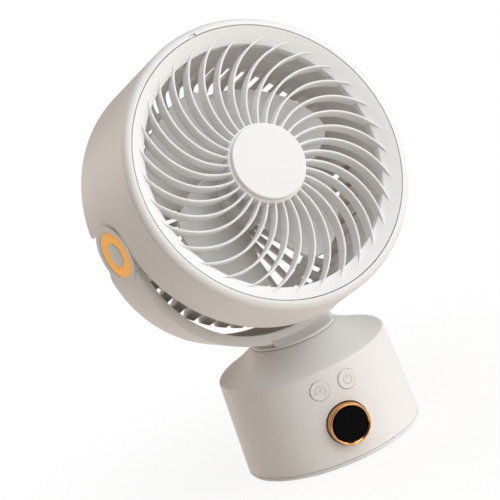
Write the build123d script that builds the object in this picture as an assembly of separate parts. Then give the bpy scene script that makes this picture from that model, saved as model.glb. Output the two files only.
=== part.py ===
from build123d import *
import math
import os

# Small desk fan: a flared base with a rotary knob, a yoke that swings on the base,
# and a drum head that tilts in the yoke. Millimetres, +Z up, knob side towards -Y.
# The origin is the centre of the foot pad, on the surface that the fan stands on.

# Pose of the drawn object
swing_angle = 17.6
tilt_angle = 21.3

# Clearances shared by many parts
turning_gap = 0.05
thrust_gap = 0.1
sliding_gap = 0.2
loose_gap = 0.3

# Screws
screw_radius = 1.25
screw_head_radius = 2.4
screw_head_height = 1.5
screw_slot_width = 0.6
screw_slot_depth = 0.6
screw_head_round = 0.5
screw_bite = 4.0
boss_radius = 3.2

# Base housing
base_top_radius = 46.8
base_bottom_radius = 48.7
base_seam_height = 3.2
base_seam_gap = 0.3
base_rim_height = 54.0
base_crown_height = 65.7
base_wall = 2.4
base_rim_round = 1.6
crown_flat_radius = 24.0
crown_dip = 0.8
cover_thickness = 2.2
cover_edge_round = 1.8
cover_lip_height = 3.0
cover_lip_wall = 1.6
pad_radius = 40.0
pad_thickness = 1.6
pad_recess = 0.6
pad_edge_round = 0.4
base_boss_circle = 43.4
base_boss_angles = (-38, 218, 60, 120)
base_boss_top = 13.0

# Inside the base
ballast_radius = 38.0
ballast_thickness = 3.0
cell_radius = 9.1
cell_length = 65.0
cell_spacing = 19.0
cell_shift = 12.5
cell_tip_radius = 3.0
cradle_radius = 44.4
cradle_half_length = 34.2
cradle_floor = 1.4
cradle_wall = 1.2
cradle_height = 6.0
board_thickness = 1.6
charge_board_half_width = 9.0
charge_board_front = 33.4
charge_board_rear = 44.6
charge_board_height = 11.0
inlet_width = 9.0
inlet_height = 3.2
inlet_depth = 7.4
inlet_wall = 0.35
inlet_sink = 0.6
tongue_width = 6.4
tongue_thickness = 0.7

# Knob and display
knob_height = 22.5
knob_back_radius = 11.65
knob_front_radius = 10.7
knob_reach = 52.25
knob_inner_radius = 9.45
knob_edge_round = 0.6
knob_skirt_wall = 1.15
knob_lip = 0.7
knob_lip_thickness = 1.1
knob_cup_floor = 44.5
knob_cup_wall = 1.6
knob_cup_thickness = 2.3
glass_radius = 9.15
glass_thickness = 1.2
glass_sink = 0.6
glass_bevel = 0.25
holder_wall = 1.4
holder_floor = 2.4
display_thickness = 1.0
control_board_reach = 36.8
control_board_half_width = 22.0
control_board_bottom = 12.0
control_board_top = 51.0
encoder_outer_radius = 11.2
encoder_wall = 2.9
encoder_thickness = 3.2

# Push buttons
button_height = 44.35
button_azimuth = 9.7
button_radius = 5.3
button_stand = 0.6
button_travel = 0.5
button_edge_round = 0.5
button_flange = 0.8
button_flange_thickness = 0.9
plunger_radius = 1.6
switch_size = 6.0
switch_height = 3.5
switch_stem_radius = 1.6
switch_stem_height = 0.9

# Turntable and swing drive
neck_radius = 23.4
neck_disc_thickness = 1.2
neck_disc_round = 0.4
neck_body_radius = 21.2
neck_tab_half_width = 7.5
neck_tab_stand = 0.4
neck_tab_thickness = 2.0
stub_radius = 10.0
bush_wall = 1.4
bush_flange_radius = 16.0
bush_flange_thickness = 0.3
retainer_radius = 13.7
retainer_thickness = 2.0
retainer_screw_circle = 6.4
retainer_screw_bite = 2.0
swing_motor_radius = 14.0
swing_motor_length = 17.0
swing_motor_round = 0.8
swing_motor_top = 55.5
swing_boss_radius = 4.5
swing_boss_height = 1.6
swing_shaft_radius = 2.5
swing_shaft_depth = 5.5
motor_ear_reach = 17.5
motor_ear_thickness = 1.2

# Head pivot, along the pivot axis from the middle of the fan
pivot_height = 149.0
pivot_rear_shift = 3.7
pivot_pin_radius = 2.5
pivot_pin_start = 68.4
pivot_seat = 76.55
pivot_head_radius = 4.5
pivot_head_thickness = 1.25
pivot_washer_radius = 6.0
pivot_washer_thickness = 0.5
drum_boss_radius = 6.5
drum_boss_root = 67.8
drum_boss_face = 74.0

# Yoke band
head_radius = 80.0
band_half_width = 14.2
band_depth = 3.6
band_wall = 1.6
liner_thickness = 1.1
ear_boss_radius = 7.5
accent_outer_radius = 10.5
accent_inner_radius = 5.5
accent_floor = 77.9
accent_sink = 0.15

# Head shell, along the air flow from the pivot axis
crest = 48.0
shell_wall = 2.3
shoulder_round = 4.3
ring_rear = 15.0
visor_rear = -17.5
ear_clearance = 0.6
visor_corner_round = 3.0
seam_radius = 75.35
seam_width = 0.5
seam_edge_round = 0.4
ledge_inner_radius = 73.0
ledge_top = 44.4
ledge_thickness = 3.0
notch_width = 4.0
notch_depth = 1.5
notch_drop = 1.6

# Front grille
opening_radius = 66.7
opening_front = 42.4
grille_skin = 2.2
spigot_wall = 2.7
spigot_rear = 37.5
rib_count = 32
rib_first_angle = 0.6
rib_thickness = 1.6
rib_front = 43.5
rib_bend_radius = 38.0
rib_start_radius = 21.0
hub_ring_radius = 22.0
hub_ring_wall = 3.5
hub_ring_front = 45.0
hub_ring_round = 0.8
hub_floor = 1.8
hub_cap_radius = 20.7
hub_cap_front = 48.1
hub_cap_round = 0.7
hub_cap_skirt_wall = 1.6
hub_cap_skirt_depth = 4.0

# Front duct and rear basket
drum_inner_radius = 67.2
drum_outer_radius = 69.8
drum_split = 18.5
collar_outer_radius = 71.8
collar_rear = 14.5
collar_front = 21.0
socket_rear = 35.3
duct_flange_radius = 77.4
duct_flange_thickness = 2.0
shell_screw_circle = 74.8
shell_screw_angles = (45, 135, 225, 315)
basket_rear = -27.5
basket_floor = 2.6
basket_corner_round = 9.0
side_slot_count = 48
side_slot_width = 4.0
side_slot_front = 8.5
side_slot_inner_radius = 59.5
pivot_pad_angle = 8.0
rear_slot_count = 36
rear_slot_inner_radius = 23.4
rear_slot_outer_radius = 54.5
rear_bar_width = 2.7
rear_bar_angle = 5.0

# Impeller
blade_count = 4
blade_front = 25.6
blade_rear = -4.4
blade_tip_radius = 56.0
blade_thickness = 1.6
blade_rear_angle = 79.0
blade_root_sweep = 107.0
blade_tip_sweep = 72.0
blade_corner_cut = 3.0
blade_stations = 9
blade_rows = 6
hub_radius = 21.0
hub_wall = 1.8
hub_front = 24.0
hub_rear = -14.0
hub_round = 3.0
hub_boss_radius = 5.0
nut_height = 3.0
nut_round = 1.0

# Fan motor
can_wall = 1.0
can_front = 6.0
can_rear = -13.0
magnet_thickness = 2.0
magnet_front = 3.0
magnet_rear = -12.0
fan_shaft_radius = 1.5
fan_shaft_front = 25.5
fan_shaft_rear = -24.0
air_gap = 0.6
stator_teeth = 9
stator_front = 2.0
stator_rear = -10.0
stator_hub_radius = 8.2
tooth_width = 3.0
shoe_width = 7.6
shoe_thickness = 1.8
coil_thickness = 1.3
coil_inner_radius = 9.6
bearing_radius = 3.5
bearing_length = 4.0
bearing_tube_radius = 5.3
bearing_shoulder = 0.8
bearing_tube_front = 4.2
motor_plate_radius = 20.0
motor_plate_thickness = 2.0
motor_post_circle = 14.0
motor_post_radius = 2.8
motor_post_height = 2.4
motor_board_radius = 17.5
motor_screw_angles = (90, 210, 330)


# Frames of the moving groups
def swing_frame():
    return Location((0, 0, 0), (0, 0, swing_angle))


def pivot_point():
    turn = math.radians(swing_angle)
    return Vector(-math.sin(turn) * pivot_rear_shift, math.cos(turn) * pivot_rear_shift, pivot_height)


def pivot_frame(lift):
    # Local X along the pivot axis, local Z forwards and raised by the lift angle
    turn = math.radians(swing_angle)
    rise = math.radians(lift)
    across = Vector(math.cos(turn), math.sin(turn), 0)
    level = math.cos(rise)
    forward = Vector(math.sin(turn) * level, -math.cos(turn) * level, math.sin(rise))
    return Plane(origin=pivot_point(), x_dir=across, z_dir=forward).location


def yoke_frame():
    return pivot_frame(0)


def head_frame():
    return pivot_frame(tilt_angle)


# Shared shapes
def outline(points, rounds=()):
    face = make_face(Polyline(*points, close=True))
    for corner, radius in rounds:
        vertex = face.vertices().sort_by_distance((corner[0], corner[1], 0))[0]
        face = fillet(vertex, radius)
    return face


def turned(face):
    return revolve(Plane.XZ * face, Axis.Z)


def disc(radius, low, high):
    return Pos(0, 0, low) * Cylinder(radius, high - low, align=(Align.CENTER, Align.CENTER, Align.MIN))


def tube(outer, inner, low, high):
    return disc(outer, low, high) - disc(inner, low - 1, high + 1)


def side_rod(radius, start, end):
    # Round bar along local X
    return Pos(start, 0, 0) * Rot(0, 90, 0) * disc(radius, 0, end - start)


def front_rod(radius, near, far):
    # Round bar along -Y between two distances from the middle
    return Pos(0, -near, 0) * Rot(90, 0, 0) * disc(radius, 0, far - near)


def spots(radius, angles, height=0.0):
    places = []
    for angle in angles:
        turn = math.radians(angle)
        places.append(Pos(radius * math.cos(turn), radius * math.sin(turn), height))
    return places


def even_angles(count, first=0.0):
    return [first + 360.0 * index / count for index in range(count)]


def screw(length):
    # Round head below z = 0, plain shank upwards
    head = disc(screw_head_radius, -screw_head_height, 0)
    head = fillet(head.edges().group_by(Axis.Z)[0], screw_head_round)
    slot_length = 1.3 * screw_head_radius
    slot = Box(slot_length, screw_slot_width, 2 * screw_slot_depth)
    cross = Box(screw_slot_width, slot_length, 2 * screw_slot_depth)
    return head + disc(screw_radius, 0, length) - Pos(0, 0, -screw_head_height) * (slot + cross)


def screw_hole(low, high):
    return disc(screw_radius + turning_gap, low, high)


def screw_pass(low, high):
    return disc(screw_radius + sliding_gap, low, high)


def head_sink(low, high):
    return disc(screw_head_radius + sliding_gap, low, high)


# Base housing
def base_radius_at(height):
    rise = (height - base_seam_height) / (base_rim_height - base_seam_height)
    return base_bottom_radius + (base_top_radius - base_bottom_radius) * rise


def base_skin(inset, low):
    # Solid of the housing skin, moved inwards by the inset
    foot = (base_radius_at(low) - inset, low)
    rim = (base_top_radius - inset, base_rim_height - inset / 2)
    flat = (crown_flat_radius, base_crown_height - inset)
    middle = ((rim[0] + flat[0]) / 2, (rim[1] + flat[1]) / 2 - crown_dip)
    edges = Curve() + [ThreePointArc(rim, middle, flat), Polyline(flat, (0, flat[1]), (0, low), foot, rim)]
    face = make_face(edges)
    corner = face.vertices().sort_by_distance((rim[0], rim[1], 0))[0]
    return turned(fillet(corner, base_rim_round))


def roof_underside():
    return base_crown_height - base_wall


def button_places():
    return [Rot(0, 0, side * button_azimuth) * Pos(0, 0, button_height) for side in (1, -1)]


def knob_skirt_radius():
    return knob_inner_radius + knob_skirt_wall


def knob_place():
    return Pos(0, 0, knob_height)


def inlet_centre_height():
    return charge_board_height + board_thickness + inlet_height / 2


def inlet_mouth():
    return base_radius_at(inlet_centre_height()) - inlet_sink


def inlet_block(grow, back, front):
    # Rounded bar along Y, from a distance behind the mouth to one in front of it
    height = inlet_height + 2 * grow
    face = Plane.XZ * RectangleRounded(inlet_width + 2 * grow, height, 0.49 * height)
    bar = extrude(face, back + front, dir=(0, 1, 0))
    return Pos(0, inlet_mouth() - back, inlet_centre_height()) * bar


def base_shell():
    low = base_seam_height + base_seam_gap
    skin = base_skin(0, low)
    body = skin - base_skin(base_wall, low - 1)
    bosses = [place * disc(boss_radius, low, base_boss_top)
              for place in spots(base_boss_circle, base_boss_angles)]
    bosses += [place * disc(boss_radius, swing_motor_top, base_crown_height - 1)
               for place in spots(motor_ear_reach, (0, 180))]
    cup_radius = knob_back_radius + loose_gap + knob_cup_wall
    cup_back = knob_cup_floor - knob_cup_thickness
    bosses.append(knob_place() * front_rod(cup_radius, cup_back, base_bottom_radius))
    for boss in bosses:
        body += boss & skin
    for place in spots(base_boss_circle, base_boss_angles):
        body -= place * screw_hole(low - 1, low + screw_bite + 1)
    for place in spots(motor_ear_reach, (0, 180)):
        body -= place * screw_hole(swing_motor_top - 1, swing_motor_top + screw_bite + 1)
    bush_hole = stub_radius + bush_wall + 2 * turning_gap
    body -= disc(bush_hole, roof_underside() - 1, base_crown_height + 1)
    body -= knob_place() * front_rod(knob_back_radius + loose_gap, knob_cup_floor, knob_reach)
    body -= knob_place() * front_rod(knob_skirt_radius() + loose_gap, cup_back - 1, knob_reach)
    wall_inside = base_radius_at(button_height) - base_wall
    for place in button_places():
        body -= place * front_rod(button_radius + sliding_gap, wall_inside - base_wall, knob_reach)
        body -= place * front_rod(button_radius + 2 * button_flange, wall_inside - base_wall, wall_inside)
    return body - inlet_block(sliding_gap, inlet_depth, base_wall)


def cover_low():
    return base_seam_height - cover_thickness


def base_cover():
    low = cover_low()
    plate = disc(base_bottom_radius, low, base_seam_height)
    plate = fillet(plate.edges().group_by(Axis.Z)[0], cover_edge_round)
    lip_top = base_seam_height + cover_lip_height
    lip_radius = base_radius_at(lip_top) - base_wall - sliding_gap
    lip = tube(lip_radius, lip_radius - cover_lip_wall, base_seam_height, lip_top)
    lip -= [place * disc(boss_radius + loose_gap, 0, lip_top + 1)
            for place in spots(base_boss_circle, base_boss_angles)]
    cover = plate + lip - disc(pad_radius + sliding_gap, low - 1, low + pad_recess)
    posts = tube(boss_radius, screw_radius + sliding_gap, base_seam_height, base_seam_height + base_seam_gap)
    for place in spots(base_boss_circle, base_boss_angles):
        cover += place * posts
        cover -= place * screw_pass(low - 1, base_seam_height + 1)
        cover -= place * head_sink(low - 1, low + screw_head_height)
    return cover


def foot_pad():
    pad = disc(pad_radius, 0, pad_thickness)
    return fillet(pad.edges().group_by(Axis.Z)[0], pad_edge_round)


def cover_screws():
    seat = cover_low() + screw_head_height
    length = base_seam_height + base_seam_gap + screw_bite - seat
    return [place * screw(length) for place in spots(base_boss_circle, base_boss_angles, seat)]


def ballast_plate():
    return disc(ballast_radius, base_seam_height, base_seam_height + ballast_thickness)


def cradle_base():
    return base_seam_height + ballast_thickness


def cell_height():
    return cradle_base() + cradle_floor + thrust_gap + cell_radius


def cell_rows():
    return (cell_shift - cell_spacing / 2, cell_shift + cell_spacing / 2)


def battery_cradle():
    low = cradle_base()
    rear = cell_rows()[1] + cell_radius
    depth = cell_spacing + 2 * cell_radius + 2 * cradle_wall
    seated = (Align.CENTER, Align.CENTER, Align.MIN)
    tall = cradle_floor + cradle_height
    block = Pos(0, cell_shift, low) * Box(2 * cradle_half_length, depth, tall, align=seated)
    half = cell_length / 2 + loose_gap
    trough = side_rod(cell_radius + thrust_gap, -half, half)
    block -= [Pos(0, row, cell_height()) * trough for row in cell_rows()]
    shelf_depth = charge_board_rear - inlet_depth - rear
    shelf = Box(
        2 * charge_board_half_width, shelf_depth, charge_board_height - low,
        align=(Align.CENTER, Align.MIN, Align.MIN),
    )
    cradle = block + Pos(0, rear, low) * shelf
    return cradle & disc(cradle_radius, 0, base_rim_height)


def battery_cells():
    half = cell_length / 2
    cell = side_rod(cell_radius, -half, half) + side_rod(cell_tip_radius, half - 1, half + sliding_gap)
    return [Pos(0, row, cell_height()) * cell for row in cell_rows()]


def control_board():
    height = control_board_top - control_board_bottom
    seated = (Align.CENTER, Align.MIN, Align.MIN)
    board = Box(2 * control_board_half_width, board_thickness, height, align=seated)
    return Pos(0, -control_board_reach, control_board_bottom) * board


def encoder_bore():
    return encoder_outer_radius - encoder_wall


def encoder():
    ring = front_rod(encoder_outer_radius, control_board_reach, control_board_reach + encoder_thickness)
    return knob_place() * (ring - front_rod(encoder_bore(), 0, base_bottom_radius))


def holder_reach():
    return knob_reach - glass_sink - glass_thickness


def display_holder():
    outer = encoder_bore() - sliding_gap
    inner = outer - holder_wall
    post = front_rod(outer, control_board_reach, holder_reach())
    hollow = front_rod(inner, 0, holder_reach() - display_thickness - holder_floor)
    seat = front_rod(inner, holder_reach() - display_thickness, knob_reach)
    return knob_place() * (post - hollow - seat)


def display_panel():
    radius = encoder_bore() - sliding_gap - holder_wall - turning_gap
    return knob_place() * front_rod(radius, holder_reach() - display_thickness, holder_reach())


def display_glass():
    glass = front_rod(glass_radius, holder_reach(), holder_reach() + glass_thickness)
    return knob_place() * chamfer(glass.edges().group_by(Axis.Y)[0], glass_bevel)


def switch_top():
    return control_board_reach + switch_height + switch_stem_height


def tact_switches():
    switches = []
    for side in (1, -1):
        across = side * switch_top() * math.tan(math.radians(button_azimuth))
        case = Box(switch_size, switch_height, switch_size, align=(Align.CENTER, Align.MAX, Align.CENTER))
        case = Pos(0, -control_board_reach, 0) * case
        stem = front_rod(switch_stem_radius, control_board_reach + switch_height, switch_top())
        switches.append(Pos(across, 0, button_height) * (case + stem))
    return switches


def charge_board():
    length = charge_board_rear - charge_board_front
    seated = (Align.CENTER, Align.MIN, Align.MIN)
    board = Box(2 * charge_board_half_width, length, board_thickness, align=seated)
    return Pos(0, charge_board_front, charge_board_height) * board


def usb_socket():
    shell = inlet_block(0, inlet_depth, 0)
    hollow = inlet_block(-inlet_wall, inlet_depth - 2 * inlet_wall, 1)
    seated = (Align.CENTER, Align.MIN, Align.CENTER)
    tongue = Box(tongue_width, inlet_depth - 1, tongue_thickness, align=seated)
    return shell - hollow + Pos(0, inlet_mouth() - inlet_depth, inlet_centre_height()) * tongue


def swing_motor():
    low = swing_motor_top - swing_motor_length
    can = disc(swing_motor_radius, low, swing_motor_top)
    can = fillet(can.edges(), swing_motor_round)
    boss = disc(swing_boss_radius, swing_motor_top - 1, swing_motor_top + swing_boss_height)
    ears = extrude(SlotCenterToCenter(2 * motor_ear_reach, 2 * boss_radius), motor_ear_thickness)
    body = can + boss + Pos(0, 0, swing_motor_top - motor_ear_thickness) * ears
    for place in spots(motor_ear_reach, (0, 180)):
        body -= place * screw_pass(low, swing_motor_top + 1)
    bore_low = swing_motor_top - swing_shaft_depth - loose_gap
    return body - disc(swing_shaft_radius + turning_gap, bore_low, base_crown_height)


def swing_motor_screws():
    seat = swing_motor_top - motor_ear_thickness
    length = motor_ear_thickness + screw_bite
    return [place * screw(length) for place in spots(motor_ear_reach, (0, 180), seat)]


def neck_bush():
    inner = stub_radius + turning_gap
    sleeve = tube(inner + bush_wall, inner, roof_underside(), base_crown_height)
    flange = tube(bush_flange_radius, inner, base_crown_height, base_crown_height + bush_flange_thickness)
    return sleeve + flange


# Turntable under the yoke
def neck_low():
    return base_crown_height + bush_flange_thickness + thrust_gap


def neck_front():
    return pivot_rear_shift - band_half_width


def retainer_top():
    return roof_underside() - loose_gap


def retainer_spots(height=0.0):
    return spots(retainer_screw_circle, even_angles(3, 90), height)


def turntable():
    low = neck_low()
    top = low + neck_disc_thickness
    plate = disc(neck_radius, low, top)
    plate = fillet(plate.edges().group_by(Axis.Z)[-1], neck_disc_round)
    band_low = pivot_height - math.sqrt(head_radius**2 - neck_body_radius**2)
    body = disc(neck_body_radius, low, band_low)
    in_front = (Align.CENTER, Align.MAX, Align.CENTER)
    front_cut = Box(4 * neck_radius, 2 * neck_radius, 4 * neck_radius, align=in_front)
    body -= Pos(0, neck_front(), low) * front_cut
    head_room = disc(head_radius + turning_gap, -head_radius, head_radius)
    body -= Pos(0, 0, pivot_height) * Rot(90, 0, 0) * head_room
    tab_height = pivot_height - head_radius + band_depth - low
    seated = (Align.CENTER, Align.MIN, Align.MIN)
    tab = Box(2 * neck_tab_half_width, neck_tab_thickness, tab_height, align=seated)
    body += Pos(0, neck_front() - neck_tab_stand, low) * tab
    table = plate + body + disc(stub_radius, retainer_top(), low)
    passage = screw_pass(retainer_top() - 1, pivot_height - head_radius + 1)
    table -= [place * passage for place in retainer_spots()]
    return table - disc(swing_shaft_radius + turning_gap, 0, low)


def turntable_retainer():
    low = retainer_top() - retainer_thickness
    plate = disc(retainer_radius, low, retainer_top())
    plate -= [place * screw_pass(low - 1, retainer_top() + 1) for place in retainer_spots()]
    return plate - disc(swing_shaft_radius + turning_gap, 0, base_crown_height)


def retainer_screw_tip():
    return pivot_height - head_radius + retainer_screw_bite


def retainer_screws():
    seat = retainer_top() - retainer_thickness
    return [place * screw(retainer_screw_tip() - seat) for place in retainer_spots(seat)]


def swing_shaft():
    return disc(swing_shaft_radius, swing_motor_top - swing_shaft_depth, neck_low() - thrust_gap)


# Yoke
def ear_rods(radius, start, end):
    right = side_rod(radius, start, end)
    return right + mirror(right, Plane.YZ)


def band_ring(outer, inner, half_width):
    return Rot(0, 0, 90) * tube(outer, inner, -half_width, half_width)


def band_arc(outer, inner, half_width, top):
    ring = band_ring(outer, inner, half_width)
    above = Box(4 * outer, 4 * outer, 4 * outer, align=(Align.CENTER, Align.MIN, Align.CENTER))
    return ring - Pos(0, top, 0) * above


def ear_cutter():
    # Stepped hole through an ear: pin bore, seat of the pin head, pocket of the accent ring
    bore = pivot_pin_radius + turning_gap
    seat = pivot_head_radius + thrust_gap
    pocket = accent_outer_radius + sliding_gap
    profile = outline(
        [(0, drum_boss_face - 1), (bore, drum_boss_face - 1), (bore, pivot_seat), (seat, pivot_seat),
         (seat, accent_floor), (pocket, accent_floor), (pocket, head_radius + 2), (0, head_radius + 2)],
    )
    return turned(profile)


def yoke_shell():
    inner = head_radius - band_depth
    liner_seat = inner + liner_thickness + turning_gap
    skin = band_arc(head_radius, inner, band_half_width, 0)
    ring = band_ring(head_radius, inner, band_half_width)
    ears = ring & ear_rods(band_half_width, inner / 2, 2 * head_radius)
    channel = band_arc(head_radius - band_wall, inner - 1, band_half_width - band_wall, -band_half_width)
    pad = Pos(0, -head_radius, pivot_rear_shift) * Rot(90, 0, 0) * Cylinder(
        retainer_screw_circle + boss_radius, 4 * band_depth
    )
    pad_front = band_half_width - band_wall / 2
    pad_ring = tube(head_radius - band_wall / 2, liner_seat, -band_half_width, pad_front)
    body = skin + ears - channel + (pad & pad_ring)
    body += ear_rods(ear_boss_radius, drum_boss_face + pivot_washer_thickness + thrust_gap, inner + 1)
    body -= [Rot(0, side * 90, 0) * ear_cutter() for side in (1, -1)]
    notch_depth_in = neck_tab_thickness - neck_tab_stand + turning_gap
    notch = Box(
        2 * (neck_tab_half_width + turning_gap), 4 * band_depth, notch_depth_in,
        align=(Align.CENTER, Align.CENTER, Align.MAX),
    )
    body -= Pos(0, -head_radius, band_half_width) * notch
    from_swing = yoke_frame().inverse() * swing_frame()
    one_hole = screw_hole(neck_low(), retainer_screw_tip() + turning_gap)
    holes = [place * one_hole for place in retainer_spots()]
    return body - [from_swing * hole for hole in holes]


def yoke_liner():
    inner = head_radius - band_depth
    half_width = band_half_width - band_wall - sliding_gap
    return band_arc(inner + liner_thickness, inner, half_width, -band_half_width - sliding_gap)


def pivot_side(shape, side):
    return shape if side > 0 else mirror(shape, Plane.YZ)


def accent_ring(side):
    ring = side_rod(accent_outer_radius, accent_floor, head_radius)
    ring -= side_rod(accent_inner_radius, 0, 2 * head_radius)
    return pivot_side(ring & disc(head_radius - accent_sink, -head_radius, head_radius), side)


def pivot_cap(side):
    cap = side_rod(accent_inner_radius - turning_gap, accent_floor, head_radius)
    return pivot_side(cap & disc(head_radius - 2 * accent_sink, -head_radius, head_radius), side)


def pivot_pin(side):
    shank = side_rod(pivot_pin_radius, pivot_pin_start, pivot_seat)
    head = side_rod(pivot_head_radius, pivot_seat, pivot_seat + pivot_head_thickness)
    return pivot_side(shank + head, side)


def pivot_washers():
    start = drum_boss_face + thrust_gap
    washer = side_rod(pivot_washer_radius, start, start + pivot_washer_thickness)
    washer -= side_rod(pivot_pin_radius + turning_gap, 0, head_radius)
    return [pivot_side(washer, side) for side in (1, -1)]


# Head shell with its visor
def head_shell():
    inner = head_radius - shell_wall
    seam_outer = seam_radius + seam_width / 2
    low = ledge_top - ledge_thickness
    profile = outline(
        [(inner, visor_rear), (head_radius, visor_rear), (head_radius, crest), (seam_outer, crest),
         (seam_outer, ledge_top), (ledge_inner_radius, ledge_top), (ledge_inner_radius, low), (inner, low)],
        [((head_radius, crest), shoulder_round), ((seam_outer, crest), seam_edge_round / 4)],
    )
    clear = band_half_width + ear_clearance
    reach = 2 * head_radius
    rear = visor_rear - 0.01
    side_view = outline(
        [
            (-reach, reach), (-reach, ring_rear), (clear, ring_rear),
            (clear, rear), (reach, rear), (reach, reach),
        ],
        [((clear, ring_rear), clear - sliding_gap), ((clear, rear), visor_corner_round)],
    )
    shell = turned(profile) & extrude(Plane.YZ * side_view, reach, both=True)
    shell -= Pos(0, seam_outer, crest) * Box(notch_width, 2 * notch_depth, 2 * notch_drop)
    for place in spots(shell_screw_circle, shell_screw_angles):
        shell -= place * screw_hole(low - 1, ledge_top - loose_gap)
    return shell


# Front grille
def rib_outline():
    ring = Circle(rib_bend_radius + rib_thickness / 2) - Circle(rib_bend_radius - rib_thickness / 2)
    window = Pos(-1, 0) * Rectangle(3 * rib_bend_radius, rib_bend_radius + 1, align=(Align.MIN, Align.MIN))
    arc = Pos(rib_start_radius, -rib_bend_radius) * (ring & window)
    return arc & (Circle(opening_radius + spigot_wall - sliding_gap) - Circle(rib_start_radius - 1))


def front_grille():
    rim = seam_radius - seam_width / 2
    spigot = opening_radius + spigot_wall
    rise = (crest - opening_front) / (rim - opening_radius)
    under_spigot = opening_front + (spigot - opening_radius) * rise - grille_skin
    profile = outline(
        [(rim, ledge_top), (rim, crest), (opening_radius, opening_front), (opening_radius, spigot_rear),
         (spigot, spigot_rear), (spigot, under_spigot), (ledge_inner_radius - sliding_gap, ledge_top)],
        [((rim, crest), seam_edge_round), ((opening_radius, opening_front), seam_edge_round)],
    )
    ring_inner = hub_ring_radius - hub_ring_wall
    hub = outline(
        [(0, spigot_rear), (hub_ring_radius, spigot_rear), (hub_ring_radius, hub_ring_front),
         (ring_inner, hub_ring_front), (ring_inner, spigot_rear + hub_floor), (0, spigot_rear + hub_floor)],
        [((hub_ring_radius, hub_ring_front), hub_ring_round)],
    )
    rib = Pos(0, 0, spigot_rear) * extrude(rib_outline(), rib_front - spigot_rear)
    ribs = [Rot(0, 0, angle) * rib for angle in even_angles(rib_count, rib_first_angle)]
    return turned(profile) + ([turned(hub)] + ribs)


def hub_cap():
    cap = disc(hub_cap_radius, hub_ring_front, hub_cap_front)
    cap = fillet(cap.edges().group_by(Axis.Z)[-1], hub_cap_round)
    skirt = hub_ring_radius - hub_ring_wall - sliding_gap
    skirt_rear = hub_ring_front - hub_cap_skirt_depth
    return cap + tube(skirt, skirt - hub_cap_skirt_wall, skirt_rear, hub_ring_front)


# Drum
def front_duct():
    flange_front = ledge_top - ledge_thickness
    flange_rear = flange_front - duct_flange_thickness
    socket = opening_radius + spigot_wall + sliding_gap
    socket_floor = spigot_rear - sliding_gap
    collar_inner = drum_outer_radius + thrust_gap + turning_gap
    profile = outline(
        [(drum_inner_radius, drum_split), (collar_inner, drum_split), (collar_inner, collar_rear),
         (collar_outer_radius, collar_rear), (collar_outer_radius, collar_front),
         (drum_outer_radius, collar_front), (drum_outer_radius, socket_rear),
         (collar_outer_radius, socket_rear),
         (collar_outer_radius, flange_rear), (duct_flange_radius, flange_rear),
         (duct_flange_radius, flange_front), (socket, flange_front), (socket, socket_floor),
         (drum_inner_radius, socket_floor)],
    )
    duct = turned(profile)
    for place in spots(shell_screw_circle, shell_screw_angles):
        duct -= place * screw_pass(flange_rear - 1, flange_front + 1)
    return duct


def shell_screws():
    seat = ledge_top - ledge_thickness - duct_flange_thickness
    length = duct_flange_thickness + ledge_thickness - 2 * loose_gap
    return [place * screw(length) for place in spots(shell_screw_circle, shell_screw_angles, seat)]


def side_slot():
    # One slot through the wall and round the rear corner, on local +X
    middle = side_slot_front - side_slot_width / 2
    bar = Box(drum_outer_radius, side_slot_width, 2 * crest, align=(Align.MIN, Align.CENTER, Align.MAX))
    end = side_rod(side_slot_width / 2, 0, drum_outer_radius)
    return Pos(side_slot_inner_radius, 0, middle) * (bar + end)


def side_slot_angles():
    angles = []
    for angle in even_angles(side_slot_count):
        from_pivot = min(angle % 180, 180 - angle % 180)
        if from_pivot > pivot_pad_angle:
            angles.append(angle)
    return angles


def rear_basket():
    floor = basket_rear + basket_floor
    front = drum_split - thrust_gap
    inside_round = basket_corner_round - basket_floor
    profile = outline(
        [(0, basket_rear), (drum_outer_radius, basket_rear), (drum_outer_radius, front),
         (drum_inner_radius, front), (drum_inner_radius, floor), (0, floor)],
        [
            ((drum_outer_radius, basket_rear), basket_corner_round),
            ((drum_inner_radius, floor), inside_round),
        ],
    )
    basket = turned(profile)
    basket -= [Rot(0, 0, angle) * side_slot() for angle in side_slot_angles()]
    outward = (Align.MIN, Align.CENTER, Align.CENTER)
    bar = Box(2 * drum_outer_radius, rear_bar_width, 4 * basket_floor, align=outward)
    bar_angles = even_angles(rear_slot_count, rear_bar_angle)
    bars = [Rot(0, 0, angle) * Pos(0, 0, basket_rear) * bar for angle in bar_angles]
    basket -= tube(rear_slot_outer_radius, rear_slot_inner_radius, basket_rear - 1, floor + 1) - bars
    basket += ear_rods(drum_boss_radius, drum_boss_root, drum_boss_face)
    basket -= ear_rods(pivot_pin_radius + turning_gap, pivot_pin_start - sliding_gap, head_radius)
    for place in spots(motor_post_circle, motor_screw_angles):
        basket -= place * screw_pass(basket_rear - 1, floor + 1)
        basket -= place * head_sink(basket_rear - 1, basket_rear + screw_head_height)
    return basket


# Fan motor, standing on the floor of the basket
def motor_floor():
    return basket_rear + basket_floor


def motor_post_top():
    return motor_floor() + motor_plate_thickness + motor_post_height


def motor_mount():
    low = motor_floor()
    top = low + motor_plate_thickness
    seat = bearing_radius + turning_gap
    shoulder = bearing_radius - bearing_shoulder
    front_seat = bearing_tube_front - bearing_length
    profile = outline(
        [(seat, low), (motor_plate_radius, low), (motor_plate_radius, top), (bearing_tube_radius, top),
         (bearing_tube_radius, bearing_tube_front), (seat, bearing_tube_front), (seat, front_seat),
         (shoulder, front_seat), (shoulder, low + bearing_length), (seat, low + bearing_length)],
    )
    mount = turned(profile)
    for place in spots(motor_post_circle, motor_screw_angles):
        mount += place * disc(motor_post_radius, low, motor_post_top())
        mount -= place * screw_hole(low - 1, motor_post_top() - loose_gap)
    return mount


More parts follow.
